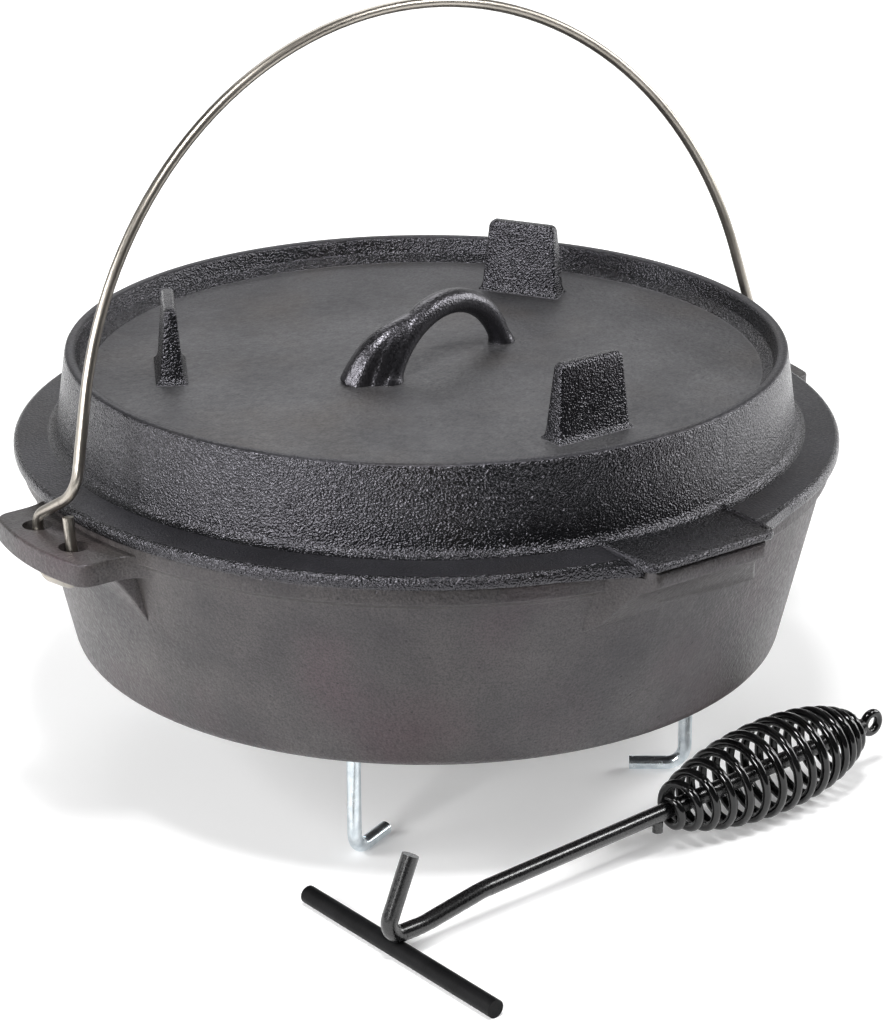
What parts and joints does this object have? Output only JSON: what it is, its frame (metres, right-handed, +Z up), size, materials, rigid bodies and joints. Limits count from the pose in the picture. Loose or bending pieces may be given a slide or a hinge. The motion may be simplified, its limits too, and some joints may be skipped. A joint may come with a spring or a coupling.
{
  "type": "camp dutch oven",
  "caption": "Round cast iron camp oven on bent rod feet, with a flanged coal lid, wire bail handle and a hooked lid lifter with a coil grip.",
  "frame": {"origin": "on the pot's axis, on the ground that the feet stand on", "axes": "+Z up along the pot's axis, +X along the bail's pivot axis, pour lip towards -Y"},
  "size_m": [0.391, 0.3837, 0.329],
  "materials": {
    "pot_iron": "matte seasoned casting",
    "lid_iron": "seasoned sand casting",
    "bail_wire": "satin stainless wire",
    "foot_zinc": "bright zinc plate",
    "lifter_black": "semi-gloss black coat",
    "grip_black": "gloss black coat"
  },
  "bodies": {
    "pot": {"pot": "pot_iron"},
    "lid": {"lid": "lid_iron"},
    "bail": {"bail": "bail_wire"},
    "foot_front": {"foot_front": "foot_zinc"},
    "foot_right": {"foot_right": "foot_zinc"},
    "foot_back": {"foot_back": "foot_zinc"},
    "foot_left": {"foot_left": "foot_zinc"},
    "lifter": {"lifter_shank": "lifter_black", "lifter_crossbar": "lifter_black", "lifter_grip": "grip_black", "lifter_eye": "grip_black", "lifter_stop_pin": "lifter_black"}
  },
  "joints": [
    {"name": "bail_swing", "type": "hinge", "parent": "pot", "child": "bail", "pos_m": [0, 0, 0.1365], "axis": [1, 0, 0], "range_deg": [-64, 27]},
    {"name": "lid_lift", "type": "slide", "parent": "pot", "child": "lid", "axis": [0, 0, 1], "range_m": [0, 0.004]},
    {"name": "foot_front_turn", "type": "hinge", "parent": "pot", "child": "foot_front", "pos_m": [-0.09022, -0.07228, 0.03], "axis": [0, 0, 1], "range_deg": [-180, 180]},
    {"name": "foot_right_turn", "type": "hinge", "parent": "pot", "child": "foot_right", "pos_m": [0.07228, -0.09022, 0.03], "axis": [0, 0, 1], "range_deg": [-180, 180]},
    {"name": "foot_back_turn", "type": "hinge", "parent": "pot", "child": "foot_back", "pos_m": [0.09022, 0.07228, 0.03], "axis": [0, 0, 1], "range_deg": [-180, 180]},
    {"name": "foot_left_turn", "type": "hinge", "parent": "pot", "child": "foot_left", "pos_m": [-0.07228, 0.09022, 0.03], "axis": [0, 0, 1], "range_deg": [-180, 180]},
    {"name": "lifter_pick_up", "type": "slide", "parent": "pot", "child": "lifter", "axis": [0, 0, 1], "range_m": [0, 0.015]}
  ]
}
